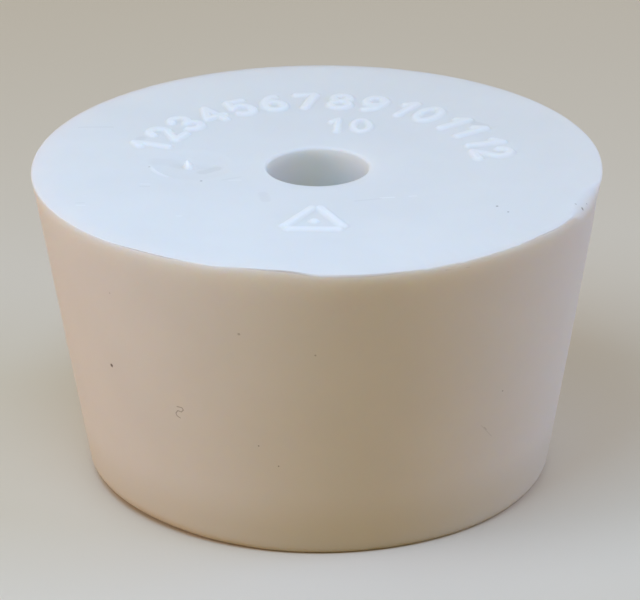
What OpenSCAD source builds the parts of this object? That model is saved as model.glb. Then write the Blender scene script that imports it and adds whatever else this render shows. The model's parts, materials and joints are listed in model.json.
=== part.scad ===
// Moulded rubber stopper: a solid tapered plug with one straight bore down its axis.
// The origin is the middle of the small end, and +Z runs up the axis to the wide end.

/* [Body] */
// Diameter of the wide end, measured to its sharp corner
rim_d = 50; // [44:0.5:70]
// Diameter of the small end, measured to its sharp corner
foot_d = 40.4; // [30:0.2:43]
// Height from the small end to the rim of the wide end
height = 28; // [15:0.5:50]
// Rounding of the rim round the wide end
rim_round = 0.4; // [0.2:0.05:1.5]
// Rounding of the edge round the small end
foot_round = 1; // [0.3:0.05:2.5]
// How far the wide end sinks from its rim to the bore, as the thick rubber shrinks
dish = 0.25; // [0.05:0.05:1]

/* [Bore] */
// Diameter of the bore's wall
bore_d = 8.7; // [4:0.1:13]
// Rounding of the lip at each end of the bore
lip_round = 0.35; // [0.1:0.05:0.6]

/* [Gate mark] */
// Distance of the gate mark from the axis
gate_at = 11.2; // [11:0.1:17]
// Direction of the gate mark round the axis, in degrees from +X
gate_angle = 178; // [0:1:359]
// Diameter of the shallow dimple round the gate
dimple_d = 6.6; // [4:0.1:7]
// Depth of the dimple at its middle
dimple_depth = 0.3; // [0.15:0.05:0.6]
// Diameter of the broken-off nub where it meets the dimple
nub_d = 2.2; // [1:0.1:3]
// Diameter of the nub's flat top
nub_top_d = 1.4; // [0.4:0.1:2]
// Height of the nub's top over the middle of the dimple
nub_h = 0.45; // [0.2:0.05:0.8]

/* [Hidden] */
$fn = 160;
WHITE_RUBBER = [0.86, 0.86, 0.84];
// Straight steps along the arc that rounds each corner of the section
ARC_STEPS = 8;
rim_r = rim_d / 2;
bore_r = bore_d / 2;
// Corners of the half section, anticlockwise: x is the distance from the axis, y the height
CORNERS = [[bore_r, 0], [foot_d / 2, 0], [rim_r, height], [bore_r, height - dish]];
ROUNDINGS = [lip_round, foot_round, rim_round, lip_round];
// Radius of the ball that cuts a dimple of this width and depth
dimple_ball_r = (pow(dimple_d / 2, 2) + pow(dimple_depth, 2)) / (2 * dimple_depth);
// The nub runs on below the dimple by this much, so that it grows out of the rubber all round
nub_root = dimple_depth;

function direction(angle) = [cos(angle), sin(angle)];

// Direction of the outline's straight side from corner i to the next one
function side_angle(corners, i) =
    let (side = corners[(i + 1) % len(corners)] - corners[i])
    atan2(side[1], side[0]);

// Points of the arc that rounds corner i. Its middle is on the line that halves the corner,
// and it touches both straight sides.
function corner_arc(corners, i, r) =
    let (
        before = side_angle(corners, (i + len(corners) - 1) % len(corners)),
        turn = (side_angle(corners, i) - before + 360) % 360,
        middle = corners[i] + r / cos(turn / 2) * direction(before + turn / 2 + 90)
    )
    [for (step = [0 : ARC_STEPS]) middle + r * direction(before - 90 + turn * step / ARC_STEPS)];

// Height of the gently sunk wide end at a distance from the axis
function face_height(r) = height - dish * (rim_r - r) / (rim_r - bore_r);

// The plug and its bore in one turn of the half section
module plug() {
    rotate_extrude()
        polygon([for (i = [0 : len(CORNERS) - 1]) each corner_arc(CORNERS, i, ROUNDINGS[i])]);
}

// Places what belongs to the gate mark on the wide end, with z = 0 on the face
module at_gate() {
    rotate(gate_angle)
        translate([gate_at, 0, face_height(gate_at)])
            children();
}

// Where the rubber ran into the mould: a shallow dimple, cut by the cap of a large ball
module gate_dimple() {
    at_gate()
        translate([0, 0, dimple_ball_r - dimple_depth])
            sphere(dimple_ball_r);
}

// What was left standing in the dimple when the sprue broke off
module gate_nub() {
    at_gate()
        translate([0, 0, -dimple_depth]) {
            translate([0, 0, -nub_root])
                cylinder(h = nub_root, d = nub_d);
            cylinder(h = nub_h, d1 = nub_d, d2 = nub_top_d);
        }
}

module stopper() {
    color(WHITE_RUBBER) {
        difference() {
            plug();
            gate_dimple();
        }
        gate_nub();
    }
}

stopper();
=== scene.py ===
"""A moulded white rubber stopper with one bore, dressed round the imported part.

The visible stopper is one closed skin: half a section carried round the axis, with the gate mark,
the raised numbers, the plain sign and the uneven rim worked into its heights. Lengths inside the
shape functions are millimetres. The mesh is written in metres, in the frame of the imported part.
"""

import json
import math

import bpy
import numpy as np
from bpy.props import FloatProperty, FloatVectorProperty, PointerProperty
from bpy.types import Operator, Panel, PropertyGroup
from mathutils import Matrix, Vector


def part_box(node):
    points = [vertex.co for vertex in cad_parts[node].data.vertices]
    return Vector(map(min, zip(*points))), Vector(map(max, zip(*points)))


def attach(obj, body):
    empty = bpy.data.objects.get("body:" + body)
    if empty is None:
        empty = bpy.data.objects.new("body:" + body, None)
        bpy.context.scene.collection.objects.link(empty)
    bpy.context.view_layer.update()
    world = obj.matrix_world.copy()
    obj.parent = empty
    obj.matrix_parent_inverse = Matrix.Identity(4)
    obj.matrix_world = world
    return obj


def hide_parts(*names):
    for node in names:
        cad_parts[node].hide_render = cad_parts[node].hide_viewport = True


bl_info = {
    "name": "Rubber stopper",
    "version": (1, 0, 0),
    "blender": (4, 5, 0),
    "location": "3D View > Sidebar > Stopper",
    "description": "Builds a bored rubber stopper with raised marks, and a plain stage for it",
    "category": "Add Mesh",
}

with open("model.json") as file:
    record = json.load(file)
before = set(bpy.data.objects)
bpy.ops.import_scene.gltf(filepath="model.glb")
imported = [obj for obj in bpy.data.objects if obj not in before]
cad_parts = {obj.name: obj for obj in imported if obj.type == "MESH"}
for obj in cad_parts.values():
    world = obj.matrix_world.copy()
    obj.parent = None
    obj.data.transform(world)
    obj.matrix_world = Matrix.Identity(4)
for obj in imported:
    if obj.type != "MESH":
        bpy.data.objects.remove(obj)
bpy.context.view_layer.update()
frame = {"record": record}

MM = 0.001
NODE = "stopper"
BODY = "root"


# ---- Sizes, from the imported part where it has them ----

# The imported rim's rounding in millimetres, and the lean of its side
PACKED_ROUNDING = 0.4
SIDE_LEAN = math.radians(9.73)


def packed_height():
    """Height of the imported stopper, in millimetres."""
    low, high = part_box(NODE)
    return (high.z - low.z) / MM


def packed_rim():
    """Radius of the rim's sharp corner, in millimetres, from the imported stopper's width.

    Formula: widest + rounding * (tan(lean) + 1 / cos(lean) - 1), where widest is the radius left
    after the rounding and lean is the angle of the side.
    """
    low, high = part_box(NODE)
    widest = (high.x - low.x) / 2 / MM
    return widest + PACKED_ROUNDING * (math.tan(SIDE_LEAN) + 1 / math.cos(SIDE_LEAN) - 1)


def packed_bore():
    """Radius of the bore's wall, in millimetres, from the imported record's bore mount."""
    for mount in frame["record"]["mounts"]:
        if mount["kind"] == "bore":
            return mount["dims"]["r_mm"]
    raise RuntimeError("the packed record has no bore mount")


def length(name, description, millimetres):
    """A length property, shown in the scene's units, with its default in millimetres."""
    return FloatProperty(
        name=name, description=description, default=millimetres * MM, unit="LENGTH", precision=5
    )


def colour(name, description, value):
    """A linear colour property."""
    return FloatVectorProperty(
        name=name, description=description, default=value, subtype="COLOR", min=0, max=1, size=3
    )


class StopperBodySizes(PropertyGroup):
    """Sizes of the moulded body."""

    rim_radius: length("Rim radius", "Radius of the wide end, to its sharp corner", packed_rim())
    foot_radius: length("Foot radius", "Radius of the small end, to its sharp corner", 20.2)
    height: length("Height", "Height from the small end to the rim", packed_height())
    rim_rounding: length("Rim rounding", "Radius that rounds the rim where it is sharp", 0.15)
    foot_rounding: length("Foot rounding", "Radius that rounds the small end's edge", 1.0)
    dish: length("Dish", "How far the wide end sinks from its rim to the bore", 0.25)
    bore_radius: length("Bore radius", "Radius of the bore's wall", packed_bore())
    lip_rounding: length("Lip rounding", "Radius that rounds both ends of the bore", 0.25)


class StopperMarkSizes(PropertyGroup):
    """Sizes of what is moulded on the wide end."""

    gate_distance: length("Gate distance", "Distance of the gate mark from the axis", 11.2)
    dimple_radius: length("Dimple radius", "Radius of the shallow dimple round the gate", 3.6)
    dimple_depth: length("Dimple depth", "Depth of the dimple at its middle", 0.24)
    nub_radius: length("Nub radius", "Radius of the broken-off nub at its foot", 0.75)
    nub_height: length("Nub height", "Height of the nub over the dimple's middle", 0.45)
    raised: length("Raised", "How far numbers and sign stand over the face", 0.22)
    stroke: length("Stroke", "Width of the raised strokes", 0.78)
    number_height: length("Number height", "Height of the row of numbers", 3.1)
    number_ring: length("Number ring", "Radius of the middle of the row of numbers", 15.5)


class StopperLook(PropertyGroup):
    """Colours of the rubber, and of the painted highlights and shade on it."""

    rubber: colour("Rubber", "Colour of the white rubber", (0.80, 0.795, 0.775))
    # Painted highlight: the raised marks, the gate's nub and lip and the lit edges of small scratches
    # are coloured paler, in place of the light they catch
    pale_highlight: colour("Rubbed", "Colour of the raised marks, rubbed paler", (0.86, 0.855, 0.84))
    # Dark specks and soiling, and also the painted shade round the gate mark and beside the raised
    # numbers
    grime_and_shade: colour("Grime", "Colour of the dark specks", (0.10, 0.075, 0.055))
    # Painted shade: the side darker towards the small end, where less light reaches it
    foot_shade: colour("Handled", "Colour near the small end, dulled by handling", (0.72, 0.70, 0.63))
    # Painted shade: the bore's back wall tinted warmer and darker deep down, where the light is
    # warmer and dimmer
    inside: colour("Inside", "Colour of the bore's wall where it is dull", (0.80, 0.775, 0.68))
    # Painted shadow: the thin dark line under the rim, as under a small overhanging lip
    line: colour("Line", "Colour of the dull moulding line at the rim", (0.34, 0.27, 0.27))


class StopperStage(PropertyGroup):
    """Colours and lamp levels of the stage."""

    floor: colour("Floor", "Colour of the plain floor", (0.74, 0.67, 0.56))
    bounce: colour("Bounce", "Colour of the light that the floor sends back up", (0.47, 0.24, 0.06))
    key_watts: FloatProperty(name="Key", description="Power of the high front lamp", default=0.230)
    left_watts: FloatProperty(name="Left", description="Power of the left lamp", default=0.815)
    high_watts: FloatProperty(name="High", description="Power of the high right lamp", default=0.854)
    low_watts: FloatProperty(name="Low", description="Power of the low right lamp", default=0.309)
    sky: FloatProperty(name="Sky", description="Level of the light from all round", default=0.347)


# ---- Plain geometry ----


def direction(angle):
    """Unit vectors at angles in radians: (cos, sin)."""
    return np.stack([np.cos(angle), np.sin(angle)], axis=-1)


def ease(low, high, value):
    """Smooth step: 0 up to low, 1 from high, and 3 t^2 - 2 t^3 between them."""
    t = np.clip((value - low) / (high - low), 0, 1)
    return t * t * (3 - 2 * t)


def hump(middle, width, value):
    """Bell: exp(-((value - middle) / width)^2)."""
    return np.exp(-(((value - middle) / width) ** 2))


def shelf(middle, width, value):
    """Flat-topped bell: exp(-((value - middle) / width)^4)."""
    return np.exp(-(((value - middle) / width) ** 4))


def away_from(middle, turn):
    """Degrees from a direction round the axis, between -180 and 180."""
    return (turn - middle + 180) % 360 - 180


def round_the_axis(places, turn):
    """Sum of flat-topped bells round the axis, from places of (direction, half width, height)."""
    total = np.zeros(np.shape(turn))
    for middle, width, height in places:
        total = total + height * shelf(0, width, away_from(middle, turn))
    return total


def turned(x, y, place, angle):
    """Coordinates of points along and across a mark at a place, turned by an angle in degrees."""
    c, s = direction(math.radians(angle))
    dx, dy = x - place[0], y - place[1]
    return dx * c + dy * s, dy * c - dx * s


def stations(zones):
    """Numbers from zones of (start, end, step): each zone's even steps, without its end."""
    parts = []
    for start, end, step in zones:
        count = max(1, round(abs(end - start) / step))
        parts.append(np.linspace(start, end, count, endpoint=False))
    return np.concatenate(parts)


# ---- Section of the body ----

# Zones of the face, by distance from the axis: start, end and step
FACE_ZONES = (
    (22.7, 17.7, 0.7),
    (17.7, 13.5, 0.12),
    (13.5, 7.5, 0.135),
    (7.5, 5.1, 0.5),
)
# Zones round the axis, in degrees: start, end and step
TURN_ZONES = (
    (3, 168, 0.43),
    (168, 186, 0.6),
    (186, 192, 0.45),
    (192, 254, 1.0),
    (254, 329, 0.6),
    (329, 357, 0.7),
    (357, 363, 1.0),
)
# Zones of the side, by height: start, end and step
SIDE_ZONES = ((2.4, 12.0, 1.2), (12.0, 13.6, 0.2), (13.6, 24.0, 1.3), (24.0, 25.2, 0.6))
SIDE_TOP_ZONES = ((25.2, 26.0, 0.4),)
# Straight pieces in the arc of each rounding
ARC_STEPS = 8
# Runs along the bore's wall and across the small end, each from arc to arc
PLAIN_RUNS = 9
# How far a shoulder lies from its corner, in lengths from the corner to the arc's end
SHOULDER = 1.35


def corner_group(corners, i, radius):
    """Rows that round corner i of a closed outline: a shoulder, an arc and a shoulder.

    The arc's middle is radius / cos(turn / 2) from the corner, on the line that halves it. The
    shoulders lie on the straight runs, just outside the arc's ends.
    """
    before = corners[i] - corners[i - 1]
    after = corners[(i + 1) % len(corners)] - corners[i]
    start = math.atan2(before[1], before[0])
    turn = (math.atan2(after[1], after[0]) - start) % (2 * math.pi)
    middle = corners[i] + radius / math.cos(turn / 2) * direction(start + turn / 2 + math.pi / 2)
    steps = np.linspace(0, 1, ARC_STEPS + 1)
    arc = middle + radius * direction(start - math.pi / 2 + turn * steps)
    reach = SHOULDER * radius * math.tan(turn / 2)
    first, last = corners[i] - reach * direction(start), corners[i] + reach * direction(start + turn)
    return np.concatenate([[first], arc, [last]])


def face_height(size, r):
    """Height of the sunk face: height - dish * (rim - r) / (rim - bore)."""
    return size["height"] - size["dish"] * (size["rim_radius"] - r) / (
        size["rim_radius"] - size["bore_radius"]
    )


def half_section(size):
    """Rings of the section as rows of (distance from the axis, height).

    The first set is close-set and runs from the top of the side over the rim to the bore. The
    second goes on down the bore, out along the small end and up the side to meet the first.
    """
    bore, foot, rim = size["bore_radius"], size["foot_radius"], size["rim_radius"]
    corners = np.array(
        [(bore, 0), (foot, 0), (rim, size["height"]), (bore, face_height(size, bore))]
    )
    lip = size["lip_rounding"]
    roundings = (lip, size["foot_rounding"], size["rim_rounding"], lip)
    low_lip, foot_arc, rim_arc, top_lip = (
        corner_group(corners, i, radius) for i, radius in enumerate(roundings)
    )

    def side(heights):
        """Points of the straight side at these heights."""
        return np.stack([foot + (rim - foot) * heights / size["height"], heights], axis=-1)

    face_r = stations(FACE_ZONES)
    face = np.stack([face_r, face_height(size, face_r)], axis=-1)
    wall_z = np.linspace(top_lip[-1, 1], low_lip[0, 1], PLAIN_RUNS + 1)[1:-1]
    wall = np.stack([np.full_like(wall_z, bore), wall_z], axis=-1)
    base_r = np.linspace(low_lip[-1, 0], foot_arc[0, 0], PLAIN_RUNS + 1)[1:-1]
    base = np.stack([base_r, np.zeros_like(base_r)], axis=-1)
    close_set = np.concatenate([side(stations(SIDE_TOP_ZONES)), rim_arc, face])
    wide_set = np.concatenate([top_lip, wall, low_lip, base, foot_arc, side(stations(SIDE_ZONES))])
    return close_set, wide_set


# ---- Raised numbers and sign ----


def bow(middle, radii, start, end, steps=14):
    """Part of an ellipse, from one angle to another in degrees."""
    return np.array(middle) + np.array(radii) * direction(np.radians(np.linspace(start, end, steps)))


def path(*points):
    """Straight strokes through these points."""
    return np.array(points, float)


# Each plain digit as strokes in a box one unit high, its middle at (0, 0)
DIGITS = {
    "0": (bow((0, 0), (0.27, 0.5), 0, 360, 24),),
    "1": (path((-0.17, 0.27), (0.06, 0.5), (0.06, -0.5)),),
    "2": (
        np.concatenate([bow((0, 0.22), (0.27, 0.28), 170, -25), path((-0.27, -0.5), (0.29, -0.5))]),
    ),
    "3": (
        bow((-0.02, 0.25), (0.25, 0.25), 155, -90),
        bow((-0.02, -0.25), (0.28, 0.25), 90, -155),
    ),
    "4": (path((0.12, -0.5), (0.12, 0.5), (-0.29, -0.2), (0.29, -0.2)),),
    "5": (
        np.concatenate(
            [path((0.23, 0.5), (-0.2, 0.5), (-0.24, 0.03)), bow((0, -0.18), (0.28, 0.32), 125, -145)]
        ),
    ),
    "6": (bow((0, -0.2), (0.27, 0.3), 0, 360, 20), bow((0.23, -0.2), (0.5, 0.7), 180, 100)),
    "7": (path((-0.27, 0.5), (0.27, 0.5), (-0.09, -0.5)),),
    "8": (
        bow((0, 0.26), (0.22, 0.24), 0, 360, 20),
        bow((0, -0.24), (0.27, 0.26), 0, 360, 20),
    ),
    "9": (bow((0, 0.2), (0.27, 0.3), 0, 360, 20), bow((-0.23, 0.2), (0.5, 0.7), 0, -80)),
}
DIGIT_WIDTH = 0.56


def stroke_distance(u, v, strokes):
    """Distance of points to strokes: the least distance to any of their straight pieces.

    Formula for a piece from a to b: |p - a - clamp((p - a).(b - a) / |b - a|^2, 0, 1) (b - a)|.
    """
    nearest = np.full(u.shape, np.inf)
    for stroke in strokes:
        for a, b in zip(stroke[:-1], stroke[1:]):
            along = b - a
            t = np.clip(((u - a[0]) * along[0] + (v - a[1]) * along[1]) / (along @ along), 0, 1)
            gap = np.hypot(u - a[0] - t * along[0], v - a[1] - t * along[1])
            nearest = np.minimum(nearest, gap)
    return nearest


# Half the width of a stroke's sloping flank in millimetres, and the share that its crown bulges
FLANK = 0.17
CROWN = 0.12


def raised_stroke(gap, width, height):
    """Soft ridge: full height inside the stroke, falling smoothly across its flanks."""
    crown = 1 - CROWN + CROWN * np.sqrt(np.clip(1 - (gap / (width / 2)) ** 2, 0, 1))
    return height * crown * (1 - ease(width / 2 - FLANK, width / 2 + FLANK, gap))


# The row of numbers: first and last direction in degrees from +X, read clockwise
NUMBERS = ("1", "2", "3", "4", "5", "6", "7", "8", "9", "10", "11", "12")
ROW_START = 165.0
ROW_END = 6.0
DIGIT_GAP = 0.75
# The size number: where it stands, how far it is turned, its height, and its share of the stroke
SIZE_NUMBER = "10"
SIZE_PLACE = (2.75, 9.5)
SIZE_TURN = -3.4
SIZE_HEIGHT = 2.7
SIZE_STROKE = 0.75
# Corners of the plain sign, and the part of each bar left out at its ends
SIGN_CORNERS = ((-0.15, -9.2), (2.45, -14.9), (-3.25, -14.75))
SIGN_GAP = 0.13


def number_width(number, height):
    """Width of a number: its digits and the gaps between them."""
    return len(number) * DIGIT_WIDTH * height + (len(number) - 1) * DIGIT_GAP


def number_relief(u, v, number, height, width, raised):
    """Relief of one upright number whose middle is at (0, 0)."""
    relief = np.zeros(u.shape)
    pitch = DIGIT_WIDTH * height + DIGIT_GAP
    first = -(len(number) - 1) * pitch / 2
    for place, digit in enumerate(number):
        near = (np.abs(u - first - place * pitch) < height) & (np.abs(v) < height)
        strokes = [stroke * height for stroke in DIGITS[digit]]
        gap = stroke_distance(u[near] - first - place * pitch, v[near], strokes)
        relief[near] = np.maximum(relief[near], raised_stroke(gap, width, raised))
    return relief


def row_relief(size, x, y):
    """Relief of the numbers set round the face, their feet towards the axis.

    Each number stands at radius R and direction a, so its own coordinates are
    u = x sin a - y cos a across and v = x cos a + y sin a - R up.
    """
    relief = np.zeros(x.shape)
    ring, height = size["number_ring"], size["number_height"]
    widths = np.array([number_width(number, height) for number in NUMBERS])
    row = math.radians(ROW_START - ROW_END) * ring
    spare = (row - widths.sum()) / (len(NUMBERS) - 1)
    middles = np.cumsum(widths + spare) - spare - widths / 2
    for number, middle in zip(NUMBERS, middles):
        c, s = direction(math.radians(ROW_START) - middle / ring)
        u, v = x * s - y * c, x * c + y * s - ring
        one = number_relief(u, v, number, height, size["stroke"], size["raised"])
        relief = np.maximum(relief, one)
    return relief


def size_relief(size, x, y):
    """Relief of the upright size number behind the bore."""
    u, v = turned(x, y, SIZE_PLACE, SIZE_TURN)
    width = SIZE_STROKE * size["stroke"]
    return number_relief(u, v, SIZE_NUMBER, SIZE_HEIGHT, width, size["raised"])


def sign_relief(size, x, y):
    """Relief of the plain sign: three straight bars round a triangle, and a dot in its middle."""
    corners = np.array(SIGN_CORNERS)
    bars = []
    for a, b in zip(corners, np.roll(corners, -1, axis=0)):
        bars.append(np.array([a + (b - a) * SIGN_GAP, b - (b - a) * SIGN_GAP]))
    gap = stroke_distance(x, y, bars)
    dot = np.hypot(x - corners[:, 0].mean(), y - corners[:, 1].mean())
    bars_relief = raised_stroke(gap, size["stroke"], size["raised"])
    return np.maximum(bars_relief, raised_stroke(dot, size["stroke"], size["raised"]))


# ---- Gate mark, slow waves and rim ----

# Direction of the gate mark, and how far its dimple and its nub stand off to the side
GATE_ANGLE = 178.0
GATE_SHIFT = 0.25
NUB_SHIFT = 0.13
# The nub, in its own radii: where its flank starts, and how ragged its foot is
NUB_FLANK = 0.55
NUB_RAGGED = 0.10
# How its top and its low shoulder fall to the right: height, then where each starts and ends
NUB_FALLS = ((1.25, -0.4, 0.25), (0.15, 0.2, 1.2))
# The groove: depth, half width, start below the nub, slope, then its middle and half length
GROOVE_DEPTH = 0.08
GROOVE_WIDTH = 0.5
GROOVE_START = 0.6
GROOVE_SLOPE = 0.5
GROOVE_SPAN = (1.5, 0.8)
# The lifted lip: height, how far it stands inside the dimple's edge, half width, and its
# direction and half width round the dimple in degrees
LIP_HEIGHT = 0.10
LIP_INSET = 0.05
LIP_WIDTH = 0.15
LIP_SPAN = (213, 24)


def gate_relief(size, x, y):
    """Relief of the gate mark, and how far each point belongs to its nub and lifted lip, which get a
    painted highlight.

    The dimple is -depth * (1 - (d / R)^2) inside its radius R. The nub is a plateau with a steep
    left flank and a top that falls to the right, where a low shoulder and a short groove run out of
    it. Its foot is ragged by sin(5 a) * cos(3 a + 1) at direction a. The lip is a bell across the
    dimple's edge, kept to its near left part.
    """
    cx, cy = size["gate_distance"] * direction(math.radians(GATE_ANGLE))
    dx, dy = x - cx - GATE_SHIFT, y - cy
    far = np.hypot(dx, dy)
    angle = np.arctan2(dy, dx)
    radius, depth = size["dimple_radius"], size["dimple_depth"]
    dimple = -depth * np.clip(1 - (far / radius) ** 2, 0, None)
    ragged = 1 + NUB_RAGGED * np.sin(5 * angle) * np.cos(3 * angle + 1)
    across = (dx + NUB_SHIFT) / size["nub_radius"]
    reach = np.hypot(across, dy / size["nub_radius"])
    nub = 1 - ease(NUB_FLANK, ragged, reach)
    lean = sum(top * (1 - ease(start, end, across)) for top, start, end in NUB_FALLS)
    groove = hump(0, GROOVE_WIDTH, dy + GROOVE_START - GROOVE_SLOPE * dx)
    groove = -GROOVE_DEPTH * groove * shelf(*GROOVE_SPAN, dx)
    lip = hump(radius - LIP_INSET, LIP_WIDTH, far) * shelf(*LIP_SPAN, np.degrees(angle) % 360)
    relief = dimple + size["nub_height"] * nub * lean + groove + LIP_HEIGHT * lip
    return relief, np.maximum(lip, nub * np.minimum(lean, 1))


# Crossed waves in the face: height, then the rates along x and y per millimetre, and the shift
WAVES = (
    (0.0175, 0.31, 0.17, 0.6),
    (0.0105, -0.23, 0.52, 2.1),
    (0.007, 0.9, 0.55, 0.0),
)


def slow_waves(x, y):
    """Unevenness of the moulded face: the sum of height * sin(p x + q y + shift)."""
    return sum(height * np.sin(p * x + q * y + shift) for height, p, q, shift in WAVES)


def raised_marks(size, x, y):
    """Relief of the numbers, the size number and the sign: the highest of the three."""
    numbers = np.maximum(row_relief(size, x, y), size_relief(size, x, y))
    return np.maximum(numbers, sign_relief(size, x, y))


# Uneven places round the axis: direction and half width in degrees, and millimetres.
# How much softer than its own rounding the rim is, then the small end's edge
RIM_SOFTER = ((340.5, 8, 1.05), (276, 9, 0.08), (228, 34, -0.08), (305, 26, -0.07))
FOOT_SOFTER = ((211, 24, 0.9), (243, 12, 0.2), (288, 40, -0.5))
# Where a painted shadow shows as a thin dark line under the rim, as under a small overhanging lip,
# and how strongly
RIM_SHADOW_LINES = (
    (224, 6, 0.3),
    (236, 8, 0.6),
    (251, 4, 0.2),
    (262, 6, 0.6),
    (281, 9, 0.35),
    (323, 8, 0.3),
)
# How far the rim stands over or under its ring. Then the level of the rest of the ring, and how
# far from the rim's corner both reach
RIM_HEIGHTS = (
    (243, 46, 0.13),
    (240, 13, 0.20),
    (259.5, 8, 0.33),
    (287, 15, -0.12),
    (305, 5, -0.05),
    (325, 3, -0.06),
    (291.4, 0.9, -0.05),
    (299.2, 0.8, -0.05),
    (306.5, 0.9, 0.04),
    (312.3, 0.8, -0.06),
    (318.6, 1.0, 0.04),
)
RIM_LEVEL = -0.10
RIM_FADE = 1.8
# How much the bore opens at its mouth, over what depth, and how far the face follows
MOUTH = (0.14, 4.0, 1.5)
# Where the side stands out of its cone (or in, below 0) from one height up to another: direction,
# half width, the two heights and millimetres
SIDE_SWELLS = ((8, 35, 8, 28, -0.15), (186, 12, 24, 28, 0.04))
# Where it does so round one height: direction, half width, height, half height and millimetres
SIDE_BUMPS = ((-8, 12, 26, 1.7, -0.10), (188.5, 1.2, 12.8, 0.45, 0.07))
# How deep under the side this reaches, and how far a corner's own rows reach, in its roundings
SIDE_DEPTH = 1.5
CORNER_REACH = 1.7
# Where the bore's wall gets a painted warm shade: direction and half width in degrees, then how it
# fades with height
BORE_SHADE_SPAN = (102, 36)
BORE_SHADE_FADE = (24.6, 27.2)
# How far below the face a ring still carries its relief, how far from the bore's wall the relief
# starts, and the two gaps from the rim between which it fades
FACE_SLACK = 0.02
LIP_CLEARANCE = 0.3
RELIEF_FADE = (1.6, 0.7)
# Reach of the painted shadow line from the rim's corner, and its least drop below the rim, in the
# rim's roundings
SHADOW_LINE_REACH = 1.3
SHADOW_LINE_DROP = 0.25


def side_drift(turn, z):
    """Millimetres by which the side stands out of its cone, from broad shallow bells."""
    drift = np.zeros(z.shape)
    for middle, width, low, high, out in SIDE_SWELLS:
        drift += out * hump(0, width, away_from(middle, turn)) * ease(low, high, z)
    for middle, width, height, half, out in SIDE_BUMPS:
        drift += out * hump(0, width, away_from(middle, turn)) * hump(height, half, z)
    return drift


def softened(r, z, corner, rounding, extra):
    """Rows of one corner moved away from it, so that its rounding grows by extra.

    Row = corner + (rounding + extra) / rounding * (row - corner), for the corner's own rows.
    """
    own = np.hypot(r - corner[0], z - corner[1]) < CORNER_REACH * rounding
    factor = 1 + own * extra / rounding
    return corner[0] + factor * (r - corner[0]), corner[1] + factor * (z - corner[1])


def uneven_rings(size, rings, turn):
    """Distance from the axis and height of every ring at every turn, before any relief."""
    r = np.repeat(rings[:, :1], turn.size, axis=1)
    z = np.repeat(rings[:, 1:], turn.size, axis=1)
    rim_corner, foot_corner = (size["rim_radius"], size["height"]), (size["foot_radius"], 0.0)
    r, z = softened(r, z, rim_corner, size["rim_rounding"], round_the_axis(RIM_SOFTER, turn))
    r, z = softened(r, z, foot_corner, size["foot_rounding"], round_the_axis(FOOT_SOFTER, turn))
    side_gap = size["foot_radius"] + (rim_corner[0] - size["foot_radius"]) * z / size["height"] - r
    drift = side_drift(turn, z) * hump(0, SIDE_DEPTH, side_gap)
    rim_gap = np.hypot(rim_corner[0] - r, rim_corner[1] - z)
    lift = (RIM_LEVEL + round_the_axis(RIM_HEIGHTS, turn)) * hump(0, RIM_FADE, rim_gap)
    opening, depth, reach = MOUTH
    flare = opening * hump(size["height"], depth, z) * hump(size["bore_radius"], reach, r)
    return r + drift + flare, z + lift


def shaped_points(size, rings, turns):
    """Points of the skin, and how far each belongs to a raised mark, which gets a painted highlight,
    to the painted shadow line under the rim and to the painted shade in the bore.

    Point = (r cos t, r sin t, z + relief), with r and z from uneven_rings. The relief is only on
    the face, and fades out before the rim.
    """
    turn = turns[None, :]
    r, z = uneven_rings(size, rings, turn)
    x, y = r * np.cos(np.radians(turn)), r * np.sin(np.radians(turn))
    ring_r, ring_z = rings[:, :1], rings[:, 1:]
    at_bore = ring_r < size["bore_radius"] + LIP_CLEARANCE
    on_face = (ring_z > face_height(size, ring_r) - FACE_SLACK) & ~at_bore
    fade_start, fade_end = (size["rim_radius"] - gap for gap in RELIEF_FADE)
    fade = on_face * (1 - ease(fade_start, fade_end, ring_r))
    marks = fade * raised_marks(size, x, y)
    gate, pale = gate_relief(size, x, y)
    height = z + marks + fade * (gate + slow_waves(x, y))
    drop = size["height"] - ring_z
    near_rim = np.hypot(size["rim_radius"] - ring_r, drop) < SHADOW_LINE_REACH * size["rim_rounding"]
    below_rim = near_rim & (drop > SHADOW_LINE_DROP * size["rim_rounding"])
    # Masks of painted light: highlight on the raised marks and the nub, shadow line under the rim,
    # warm shade in the bore
    masks = {
        "raised_mark": np.maximum(marks / size["raised"], fade * pale),
        "rim_line": below_rim * round_the_axis(RIM_SHADOW_LINES, turn),
        "bore_wall": at_bore * hump(*BORE_SHADE_SPAN, turn) * (1 - ease(*BORE_SHADE_FADE, z)),
    }
    return np.stack([x, y, height], axis=-1), masks


# ---- Skin ----


def band(first, ring_count, turn_count):
    """Four-sided faces between neighbouring rings of one set, outward side out."""
    ring = np.arange(ring_count - 1)[:, None] * turn_count
    here = np.arange(turn_count)[None, :]
    following = (here + 1) % turn_count
    corners = (ring + here, ring + following, ring + turn_count + following, ring + turn_count + here)
    return first + np.stack([np.broadcast_to(c, (ring_count - 1, turn_count)) for c in corners], -1)


def stitch(close, wide, close_first):
    """Triangles between a close-set ring and one with every second point, three to each gap."""
    a, b = close[0::2], close[1::2]
    c = np.roll(a, -1)
    p, q = wide, np.roll(wide, -1)
    faces = np.concatenate([np.stack(t, -1) for t in ((a, b, p), (b, q, p), (b, c, q))])
    return faces if close_first else faces[:, ::-1]


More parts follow.
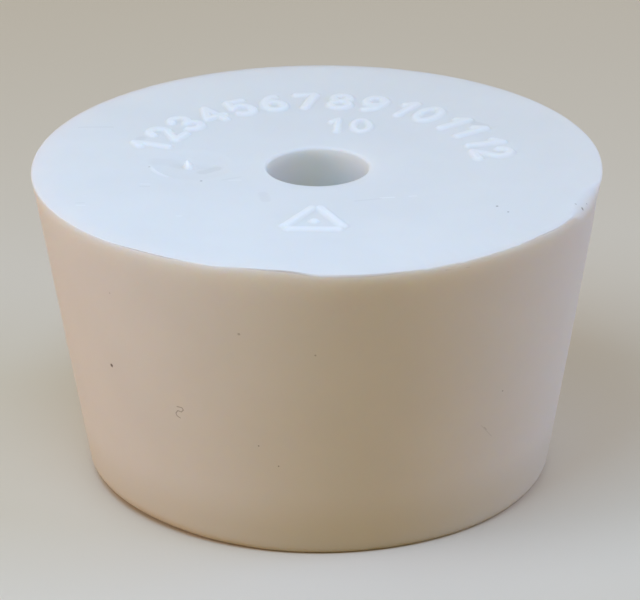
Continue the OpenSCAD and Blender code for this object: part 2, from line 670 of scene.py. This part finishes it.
def write_skin(name, points, quads, triangles, **masks):
    """A mesh object from arrays of points in millimetres, of faces, and of masks on the points."""
    mesh = bpy.data.meshes.new(name)
    corners = np.concatenate([quads.ravel(), triangles.ravel()]).astype(np.int32)
    sizes = np.concatenate([np.full(len(quads), 4), np.full(len(triangles), 3)])
    starts = np.concatenate([[0], np.cumsum(sizes)[:-1]]).astype(np.int32)
    mesh.vertices.add(len(points))
    mesh.vertices.foreach_set("co", (points * MM).astype(np.float32).ravel())
    mesh.loops.add(len(corners))
    mesh.loops.foreach_set("vertex_index", corners)
    mesh.polygons.add(len(sizes))
    mesh.polygons.foreach_set("loop_start", starts)
    mesh.update(calc_edges=True)
    mesh.shade_smooth()
    for mask, values in masks.items():
        layer = mesh.attributes.new(mask, "FLOAT", "POINT")
        layer.data.foreach_set("value", values.astype(np.float32).ravel())
    if mesh.validate():
        raise RuntimeError(f"the mesh of {name} had faulty faces")
    piece = bpy.data.objects.new(name, mesh)
    bpy.context.scene.collection.objects.link(piece)
    return piece


def in_millimetres(*groups):
    """Every length of these property groups, by name, in millimetres."""
    return {
        name: getattr(group, name) / MM
        for group in groups
        for name in group.__annotations__
    }


def build_stopper(size):
    """The whole stopper as one closed skin, its two sets of rings stitched at both joins."""
    close_set, wide_set = half_section(size)
    turns = stations(TURN_ZONES)
    turns = turns[: len(turns) // 2 * 2]
    close_points, close_masks = shaped_points(size, close_set, turns)
    wide_points, wide_masks = shaped_points(size, wide_set, turns[::2])
    points = np.concatenate([close_points.reshape(-1, 3), wide_points.reshape(-1, 3)])
    masks = {
        name: np.concatenate([close_masks[name].ravel(), wide_masks[name].ravel()])
        for name in close_masks
    }
    close_index = np.arange(len(close_set) * len(turns)).reshape(len(close_set), -1)
    wide_index = close_index.size + np.arange(len(wide_set) * len(turns) // 2)
    wide_index = wide_index.reshape(len(wide_set), -1)
    close_quads = band(0, len(close_set), len(turns))
    wide_quads = band(close_index.size, len(wide_set), len(turns) // 2)
    quads = np.concatenate([close_quads.reshape(-1, 4), wide_quads.reshape(-1, 4)])
    at_lip = stitch(close_index[-1], wide_index[0], True)
    on_side = stitch(close_index[0], wide_index[-1], False)
    triangles = np.concatenate([at_lip, on_side])
    return write_skin("stopper_body", points, quads, triangles, **masks)


# ---- Shader groups and materials ----


class Nodes:
    """Adds nodes to a tree and links them, so that a material reads as a short list."""

    def __init__(self, tree):
        self.tree = tree

    def add(self, kind, values=None, **settings):
        """A node of this kind, with settings on the node and values or links on its inputs."""
        node = self.tree.nodes.new(kind)
        for name, setting in settings.items():
            setattr(node, name, setting)
        self.fill(node, values or {})
        return node

    def put(self, socket, value):
        """Sets one input to a value, or links it."""
        if isinstance(value, bpy.types.NodeSocket):
            self.tree.links.new(value, socket)
        else:
            socket.default_value = value

    def fill(self, node, values):
        """Sets a node's inputs to values, or links them."""
        for name, value in values.items():
            self.put(node.inputs[name], value)

    def math(self, operation, a, b=0.0, clamp=False):
        """The result of one Math node."""
        node = self.add("ShaderNodeMath", {0: a, 1: b}, operation=operation, use_clamp=clamp)
        return node.outputs[0]

    def mix(self, factor, a, b):
        """The result of one colour Mix node."""
        node = self.add("ShaderNodeMix", data_type="RGBA")
        for name, value in (("Factor_Float", factor), ("A_Color", a), ("B_Color", b)):
            self.put(next(s for s in node.inputs if s.identifier == name), value)
        return next(s for s in node.outputs if s.identifier == "Result_Color")


def cleared_nodes(block):
    """The emptied nodes of a material or a world."""
    block.use_nodes = True
    block.node_tree.nodes.clear()
    return Nodes(block.node_tree)


def new_group(name, inputs, outputs):
    """An empty shader group with named sockets, given as (name, kind, default)."""
    tree = bpy.data.node_groups.new(name, "ShaderNodeTree")
    for socket_name, kind, default in inputs:
        socket = tree.interface.new_socket(socket_name, in_out="INPUT", socket_type=kind)
        if default is not None:
            socket.default_value = default
    for socket_name, kind in outputs:
        tree.interface.new_socket(socket_name, in_out="OUTPUT", socket_type=kind)
    nodes = Nodes(tree)
    return nodes, nodes.add("NodeGroupInput"), nodes.add("NodeGroupOutput")


FLOAT, VECTOR = "NodeSocketFloat", "NodeSocketVector"


def grain_group():
    """Fine moulded grain and slow mottling, from noise at two sizes."""
    nodes, given, out = new_group(
        "moulded_grain",
        [("Position", VECTOR, None), ("Fine", FLOAT, 4000.0), ("Broad", FLOAT, 120.0)],
        [("Height", FLOAT), ("Mottle", FLOAT)],
    )
    position = given.outputs["Position"]
    fine = nodes.add(
        "ShaderNodeTexNoise",
        {"Vector": position, "Scale": given.outputs["Fine"], "Detail": 3.0, "Roughness": 0.55},
    )
    broad = nodes.add(
        "ShaderNodeTexNoise",
        {"Vector": position, "Scale": given.outputs["Broad"], "Detail": 4.0, "Roughness": 0.5},
    )
    nodes.fill(out, {"Height": fine.outputs[0], "Mottle": broad.outputs[0]})
    return nodes.tree


# What every mark's group takes
MARK_INPUTS = (
    ("Position", VECTOR, None),
    ("Roughen", FLOAT, 0.5),
    ("Place", VECTOR, None),
    ("Radius", FLOAT, 0.0001),
    ("Strength", FLOAT, 1.0),
)
# In a mark's radii: how far noise roughens its outline, and where its soft edge ends
MARK_ROUGHNESS = 0.9
MARK_EDGE = 1.8


def falling(nodes, value, low, high):
    """1 up to a low value, 0 from a high one, with a smooth step between them."""
    node = nodes.add(
        "ShaderNodeMapRange",
        {"Value": value, "From Min": low, "From Max": high, "To Min": 1.0, "To Max": 0.0},
        interpolation_type="SMOOTHSTEP",
    )
    return node.outputs[0]


def soft_mark(nodes, gap, given):
    """Mask of a mark: full inside its radius, its outline roughened, and fading outside it."""
    ratio = nodes.math("DIVIDE", gap, given.outputs["Radius"])
    rough = nodes.math("MULTIPLY", given.outputs["Roughen"], MARK_ROUGHNESS)
    mask = falling(nodes, nodes.math("ADD", ratio, rough), 1.0, MARK_EDGE)
    return nodes.math("MULTIPLY", mask, given.outputs["Strength"])


def spot_group():
    """One soft-edged spot of a given radius round a place."""
    nodes, given, out = new_group("spot", MARK_INPUTS, [("Mask", FLOAT)])
    gap = nodes.add(
        "ShaderNodeVectorMath",
        {0: given.outputs["Position"], 1: given.outputs["Place"]},
        operation="DISTANCE",
    )
    nodes.fill(out, {"Mask": soft_mark(nodes, gap.outputs["Value"], given)})
    return nodes.tree


def streak_group():
    """One soft-edged straight streak between two places.

    With a and b as the places, the gap is |p - a - clamp((p - a).(b - a) / |b - a|^2) (b - a)|.
    """
    inputs = (*MARK_INPUTS, ("End", VECTOR, None))
    nodes, given, out = new_group("streak", inputs, [("Mask", FLOAT)])

    def vector(operation, a, b):
        """The node of one Vector Math operation."""
        return nodes.add("ShaderNodeVectorMath", {0: a, 1: b}, operation=operation)

    from_start = vector("SUBTRACT", given.outputs["Position"], given.outputs["Place"]).outputs[0]
    along = vector("SUBTRACT", given.outputs["End"], given.outputs["Place"]).outputs[0]
    reach = vector("DOT_PRODUCT", from_start, along).outputs["Value"]
    square = vector("DOT_PRODUCT", along, along).outputs["Value"]
    part = nodes.math("DIVIDE", reach, square, clamp=True)
    foot = nodes.add("ShaderNodeVectorMath", {0: along, "Scale": part}, operation="SCALE")
    gap = vector("DISTANCE", from_start, foot.outputs[0]).outputs["Value"]
    nodes.fill(out, {"Mask": soft_mark(nodes, gap, given)})
    return nodes.tree


# Dark specks on the side: direction in degrees, height, radius and strength
SIDE_SPECKS = (
    (-141.1, 15.2, 0.17, 0.9),
    (-137.2, 22.8, 0.07, 0.35),
    (-106.2, 21.8, 0.12, 0.35),
    (-90.7, 20.1, 0.08, 0.4),
    (-103.5, 10.8, 0.07, 0.6),
    (-99.2, 8.9, 0.07, 0.6),
    (-45.8, 13.4, 0.07, 0.5),
)
# Dark specks on the face: x, y, radius and strength
FACE_SPECKS = (
    (-10.1, -3.5, 0.12, 0.45),
    (-14.7, -0.2, 0.10, 0.35),
    (15.3, -9.9, 0.11, 0.7),
    (16.2, -11.25, 0.10, 0.6),
)
# Dark specks on the worn rim: x, y, height, radius and strength
RIM_SPECKS = (
    (22.05, -9.35, 27.85, 0.10, 0.35),
    (22.66, -9.35, 27.42, 0.16, 0.6),
    (23.13, -8.2, 27.42, 0.12, 0.5),
)
# A curled hair on the side, as directions in degrees and heights, and its radius and strength
HAIR = (
    (-122.5, 13.4),
    (-121.2, 13.4),
    (-120.9, 13.2),
    (-121.5, 12.95),
    (-122.4, 13.0),
    (-123.0, 12.7),
    (-122.8, 12.45),
    (-122.0, 12.3),
)
HAIR_LOOK = (0.045, 0.5)
# Scratches on the side: two ends as direction and height, then radius and strength
SIDE_STREAKS = (
    ((-51.0, 10.6), (-47.3, 9.1), 0.04, 0.13),
    ((-50.0, 10.3), (-49.3, 10.0), 0.05, 0.22),
    ((-64.8, 27.3), (-59.5, 27.1), 0.04, 0.20),
)
# Dark marks on the face: two ends as x and y, then radius and strength. Those round the gate's nub
# and dimple and beside the raised numbers are painted shade, and the thin lines next to the scratch
# highlights below are painted shadow along them.
FACE_STREAKS_AND_SHADE = (
    ((-10.0, -0.9), (-8.9, -0.1), 0.55, 0.09),
    ((-12.5, 0.7), (-12.0, 0.5), 0.60, 0.055),
    ((3.2, -8.25), (5.4, -7.8), 0.12, 0.06),
    ((-21.2, 9.3), (-18.2, 9.3), 0.10, 0.08),
    ((-8.3, -3.2), (-6.7, -2.4), 0.09, 0.06),
    ((-15.9, 6.0), (-15.6, 6.6), 0.45, 0.07),
    ((14.0, 9.9), (14.9, 9.2), 0.40, 0.08),
    ((-4.7, -6.4), (-4.5, -7.9), 0.45, 0.05),
    ((-20.7, -8.7), (-20.1, -8.7), 0.12, 0.06),
    ((-15.3, -4.9), (-14.6, -4.9), 0.12, 0.06),
    ((-14.2, 1.1), (-12.8, 1.3), 0.75, 0.04),
)
# Painted highlights along the lit edges of small scratches on the face: two ends as x and y, then
# radius and strength
FACE_SCRATCH_HIGHLIGHTS = (
    ((5.4, -7.65), (6.5, -7.57), 0.13, 0.9),
    ((7.9, -7.36), (8.4, -7.3), 0.13, 0.7),
    ((-20.6, -9.3), (-20.0, -9.3), 0.13, 0.6),
    ((-15.3, -4.3), (-14.6, -4.3), 0.13, 0.6),
    ((-12.0, -11.7), (-11.7, -11.7), 0.13, 0.6),
    ((-7.7, -3.3), (-6.7, -3.2), 0.12, 0.5),
)
# Heights between which the painted shade near the small end fades out
FOOT_FADE = (1.5, 6.5)
# Face marks are measured across the face alone, from points brought down to this height
FACE_LEVEL = 25.5


def side_place(size, angle, z):
    """A place on the side in metres, from its direction in degrees and its height."""
    r = size["foot_radius"] + (size["rim_radius"] - size["foot_radius"]) * z / size["height"]
    x, y = r * direction(math.radians(angle))
    return (x * MM, y * MM, z * MM)


def face_place(x, y):
    """A place on the face in metres, flattened to the level at which face marks are measured."""
    return (x * MM, y * MM, FACE_LEVEL * MM)


def side_dirt(size):
    """Every mark on side and rim: its start, its end or None, its radius and its strength."""
    places = [(side_place(size, a, z), None, r, k) for a, z, r, k in SIDE_SPECKS]
    places += [((x * MM, y * MM, z * MM), None, r, k) for x, y, z, r, k in RIM_SPECKS]
    hair = [(start, end, *HAIR_LOOK) for start, end in zip(HAIR[:-1], HAIR[1:])]
    for start, end, radius, strength in (*hair, *SIDE_STREAKS):
        places.append((side_place(size, *start), side_place(size, *end), radius, strength))
    return places


def face_streaks(streaks):
    """Streaks on the face: start, end, radius and strength of each."""
    return [(face_place(*start), face_place(*end), r, k) for start, end, r, k in streaks]


def face_dirt_and_shade():
    """Every dark mark on the face, soiling and painted shade: its start, its end or None, its radius
    and its strength.
    """
    places = [(face_place(x, y), None, r, k) for x, y, r, k in FACE_SPECKS]
    return places + face_streaks(FACE_STREAKS_AND_SHADE)


def flattened(nodes, position):
    """The position with every height over the face's level brought down to it."""
    parts = nodes.add("ShaderNodeSeparateXYZ", {0: position}).outputs
    level = nodes.math("MINIMUM", parts["Z"], FACE_LEVEL * MM)
    return nodes.add("ShaderNodeCombineXYZ", {0: parts["X"], 1: parts["Y"], 2: level}).outputs[0]


def strongest(nodes, rough, groups, marks):
    """The strongest of many marks, each given with the position in which it is measured."""
    mask = 0.0
    for where, start, end, radius, strength in marks:
        values = {"Position": where, "Roughen": rough, "Place": start}
        mark = nodes.add("ShaderNodeGroup", node_tree=groups["streak" if end else "spot"])
        if end:
            values["End"] = end
        nodes.fill(mark, {**values, "Radius": radius * MM, "Strength": strength})
        mask = nodes.math("MAXIMUM", mark.outputs["Mask"], mask)
    return mask


def marked(nodes, position, base, look, size):
    """The base colour with painted highlights and dark marks over it, the dark marks being soiling
    and painted shade, their outlines roughened by noise.
    """
    groups = {"spot": spot_group(), "streak": streak_group()}
    rough = nodes.add("ShaderNodeTexNoise", {"Vector": position, "Scale": 9000.0}).outputs[0]
    flat = flattened(nodes, position)
    scratch_highlights = [(flat, *mark) for mark in face_streaks(FACE_SCRATCH_HIGHLIGHTS)]
    dark_marks = [(position, *mark) for mark in side_dirt(size)]
    dark_marks += [(flat, *mark) for mark in face_dirt_and_shade()]
    # Painted highlights along the lit edges of small scratches
    base = nodes.mix(strongest(nodes, rough, groups, scratch_highlights), base, (*look.pale_highlight, 1))
    # Dark specks and soiling, and painted shade round the gate mark and beside the raised numbers
    return nodes.mix(strongest(nodes, rough, groups, dark_marks), base, (*look.grime_and_shade, 1))


def near_foot(nodes, position):
    """Mask of the side just over the small end, fading upwards between the heights of FOOT_FADE."""
    height = nodes.add("ShaderNodeSeparateXYZ", {0: position}).outputs["Z"]
    return falling(nodes, height, *(edge * MM for edge in FOOT_FADE))


def shade(value, factor):
    """A colour with every part multiplied by a factor, at most 1, and its opacity."""
    return tuple(min(1.0, factor * part) for part in value) + (1,)


# How dark the rubber's mottling is, and how pale the floor's cloudiness
MOTTLE_SHADE = 0.94
CLOUD_SHADE = 1.03


def rubber_colour(nodes, position, mottling, look, size):
    """The rubber's colour: mottled, with painted shade near the foot, in the bore and in a line under
    the rim, a painted highlight on the raised marks, and soiling, painted highlights and painted
    shade over it.
    """
    mottle = nodes.add(
        "ShaderNodeMapRange",
        {"Value": mottling, "From Min": 0.35, "From Max": 0.7, "To Max": 0.5},
    )
    base = nodes.mix(mottle.outputs[0], (*look.rubber, 1), shade(look.rubber, MOTTLE_SHADE))
    # Painted shade near the small end
    base = nodes.mix(near_foot(nodes, position), base, (*look.foot_shade, 1))
    # Painted warm shade in the bore, painted highlight on the raised marks and the nub, painted
    # shadow line under the rim
    layers = (("bore_wall", look.inside), ("raised_mark", look.pale_highlight), ("rim_line", look.line))
    for mask, tint in layers:
        factor = nodes.add("ShaderNodeAttribute", attribute_name=mask).outputs["Fac"]
        base = nodes.mix(factor, base, (*tint, 1))
    return marked(nodes, position, base, look, size)


def rubber_material(look, size):
    """White rubber: a matt, slightly see-into skin with fine grain, mottling, soiling, and painted
    highlights and shade.
    """
    material = bpy.data.materials.new("white_rubber")
    nodes = cleared_nodes(material)
    position = nodes.add("ShaderNodeTexCoord").outputs["Object"]
    grain = nodes.add("ShaderNodeGroup", node_tree=grain_group())
    nodes.fill(grain, {"Position": position})
    base = rubber_colour(nodes, position, grain.outputs["Mottle"], look, size)
    bump = nodes.add(
        "ShaderNodeBump",
        {"Strength": 0.12, "Distance": 0.00005, "Height": grain.outputs["Height"]},
    )
    rough = nodes.add(
        "ShaderNodeMapRange",
        {"Value": grain.outputs["Mottle"], "To Min": 0.62, "To Max": 0.76},
    )
    shader = nodes.add(
        "ShaderNodeBsdfPrincipled",
        {
            "Base Color": base,
            "Roughness": rough.outputs[0],
            "Normal": bump.outputs[0],
            "IOR": 1.5,
            "Specular IOR Level": 0.35,
            "Subsurface Weight": 1.0,
            "Subsurface Radius": (1.0, 0.82, 0.66),
            "Subsurface Scale": 0.0024,
        },
    )
    nodes.add("ShaderNodeOutputMaterial", {"Surface": shader.outputs[0]})
    return material


def seen_directly(nodes):
    """1 where the camera, a reflection or a see-through surface looks, and 0 for bounced light."""
    light_path = nodes.add("ShaderNodeLightPath").outputs
    reflected = nodes.math(
        "MAXIMUM", light_path["Is Glossy Ray"], light_path["Is Transmission Ray"]
    )
    return nodes.math("MAXIMUM", light_path["Is Camera Ray"], reflected)


def floor_material(stage):
    """Plain pale matt floor with a very faint cloudiness, which bounces warm light."""
    material = bpy.data.materials.new("pale_floor")
    nodes = cleared_nodes(material)
    position = nodes.add("ShaderNodeTexCoord").outputs["Object"]
    cloud = nodes.add("ShaderNodeTexNoise", {"Vector": position, "Scale": 18.0, "Detail": 3.0})
    shown = nodes.mix(cloud.outputs[0], (*stage.floor, 1), shade(stage.floor, CLOUD_SHADE))
    base = nodes.mix(seen_directly(nodes), (*stage.bounce, 1), shown)
    shader = nodes.add("ShaderNodeBsdfPrincipled", {"Base Color": base, "Roughness": 0.6})
    nodes.add("ShaderNodeOutputMaterial", {"Surface": shader.outputs[0]})
    return material


# ---- Stage ----

# The camera: the point it looks at, its distance, tilt and roll in degrees, and its lens
CAMERA_TARGET = (0.12, 0.0, 15.07)
CAMERA_DISTANCE = 450.0
CAMERA_TILT = 23.07
CAMERA_ROLL = -0.34
CAMERA_LENS = 286.93
# The point that every lamp faces, and the lamps: name, place and width in millimetres, and tint.
# Cool light comes from above, in front and right, and warm light from the left
LAMP_AIM = (0, 0, 15)
LAMPS = (
    ("key", (-52, -70, 175), 110, (0.41, 0.645, 1.0)),
    ("left", (-520, -100, 170), 300, (1.0, 0.81, 0.88)),
    ("high", (330, -40, 330), 300, (0.40, 0.54, 1.0)),
    ("low", (415, 80, 90), 160, (0.40, 0.64, 1.0)),
)
# Colour of the light from all round, and of the backdrop that is seen
SKY_LIGHT = (1.0, 0.83, 0.33, 1)
BACKDROP = (0.80, 0.79, 0.77, 1)
# Half the floor's width in millimetres, and the points along each of its sides
FLOOR_EDGE = 1500.0
FLOOR_POINTS = 9


def add_camera():
    """The camera, placed behind its target along the view, with a long lens."""
    tilt, roll = math.radians(CAMERA_TILT), math.radians(CAMERA_ROLL)
    ahead = Vector((0, math.cos(tilt), -math.sin(tilt)))
    across = Vector((1, 0, 0))
    up = across.cross(ahead)
    right = math.cos(roll) * across + math.sin(roll) * up
    top = math.cos(roll) * up - math.sin(roll) * across
    data = bpy.data.cameras.new("camera")
    data.lens = CAMERA_LENS
    data.sensor_width = 36.0
    data.clip_start = 0.01
    data.clip_end = 20.0
    camera = bpy.data.objects.new("camera", data)
    place = (Vector(CAMERA_TARGET) - CAMERA_DISTANCE * ahead) * MM
    turn = Matrix((right, top, -ahead)).transposed().to_4x4()
    camera.matrix_world = Matrix.Translation(place) @ turn
    bpy.context.scene.collection.objects.link(camera)
    bpy.context.scene.camera = camera


def add_softbox(name, place, width, watts, tint):
    """A square soft lamp at a place in millimetres, facing the middle of the stopper."""
    data = bpy.data.lights.new(f"{name}_lamp", "AREA")
    data.shape = "SQUARE"
    data.size = width * MM
    data.energy = watts
    data.color = tint
    lamp = bpy.data.objects.new(f"{name}_lamp", data)
    lamp.visible_camera = False
    spot = Vector(place) * MM
    aim = Vector(LAMP_AIM) * MM - spot
    lamp.matrix_world = Matrix.Translation(spot) @ aim.to_track_quat("-Z", "Y").to_matrix().to_4x4()
    bpy.context.scene.collection.objects.link(lamp)


def add_world(level):
    """Light from all round, and a pale background where the camera or a reflection sees past."""
    world = bpy.data.worlds.new("soft_room")
    nodes = cleared_nodes(world)
    light = nodes.add("ShaderNodeBackground", {"Color": SKY_LIGHT, "Strength": level})
    shown = nodes.add("ShaderNodeBackground", {"Color": BACKDROP, "Strength": 1.0})
    both = {0: seen_directly(nodes), 1: light.outputs[0], 2: shown.outputs[0]}
    mixed = nodes.add("ShaderNodeMixShader", both)
    nodes.add("ShaderNodeOutputWorld", {"Surface": mixed.outputs[0]})
    bpy.context.scene.world = world


def add_floor(stage):
    """A wide plain floor under the stopper, as a grid of x and y at height 0."""
    edge = np.linspace(-FLOOR_EDGE, FLOOR_EDGE, FLOOR_POINTS)
    x, y = np.meshgrid(edge, edge)
    points = np.stack([x.ravel(), y.ravel(), np.zeros(x.size)], -1)
    index = np.arange(x.size).reshape(x.shape)
    quads = np.stack([index[:-1, :-1], index[:-1, 1:], index[1:, 1:], index[1:, :-1]], -1)
    floor = write_skin("floor", points, quads.reshape(-1, 4), np.zeros((0, 3), int))
    floor.data.materials.append(floor_material(stage))


# ---- Operators and panel ----


class STOPPER_OT_body(Operator):
    """Build the stopper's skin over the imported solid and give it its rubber"""

    bl_idname = "stopper.body"
    bl_label = "Stopper body"

    def execute(self, context):
        scene = context.scene
        size = in_millimetres(scene.stopper_body, scene.stopper_marks)
        piece = build_stopper(size)
        piece.data.materials.append(rubber_material(scene.stopper_look, size))
        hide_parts(NODE)
        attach(piece, BODY)
        return {"FINISHED"}


class STOPPER_OT_stage(Operator):
    """Set up the floor, the lamps, the light all round and the camera"""

    bl_idname = "stopper.stage"
    bl_label = "Stage"

    def execute(self, context):
        scene = context.scene
        stage = scene.stopper_stage
        scene.view_settings.view_transform = "Standard"
        add_camera()
        add_floor(stage)
        add_world(stage.sky)
        for name, place, width, tint in LAMPS:
            add_softbox(name, place, width, getattr(stage, f"{name}_watts"), tint)
        return {"FINISHED"}


class STOPPER_PT_panel(Panel):
    """The stopper's sizes, colours and build steps"""

    bl_idname = "STOPPER_PT_panel"
    bl_label = "Rubber stopper"
    bl_space_type = "VIEW_3D"
    bl_region_type = "UI"
    bl_category = "Stopper"

    def draw(self, context):
        for operator, groups in STEPS:
            box = self.layout.box()
            for group_name in groups:
                group = getattr(context.scene, group_name)
                for name in group.__annotations__:
                    box.prop(group, name)
            box.operator(operator.bl_idname)


GROUPS = (
    ("stopper_body", StopperBodySizes),
    ("stopper_marks", StopperMarkSizes),
    ("stopper_look", StopperLook),
    ("stopper_stage", StopperStage),
)
STEPS = (
    (STOPPER_OT_stage, ("stopper_stage",)),
    (STOPPER_OT_body, ("stopper_body", "stopper_marks", "stopper_look")),
)


def register():
    """Register every class and hang the property groups on the scene."""
    for name, group in GROUPS:
        bpy.utils.register_class(group)
        setattr(bpy.types.Scene, name, PointerProperty(type=group))
    for operator, _ in STEPS:
        bpy.utils.register_class(operator)
    bpy.utils.register_class(STOPPER_PT_panel)


def unregister():
    """Take away what register added, in the opposite order."""
    bpy.utils.unregister_class(STOPPER_PT_panel)
    for operator, _ in reversed(STEPS):
        bpy.utils.unregister_class(operator)
    for name, group in reversed(GROUPS):
        delattr(bpy.types.Scene, name)
        bpy.utils.unregister_class(group)


def main():
    register()
    bpy.ops.stopper.stage()
    bpy.ops.stopper.body()


if __name__ == "__main__":
    main()
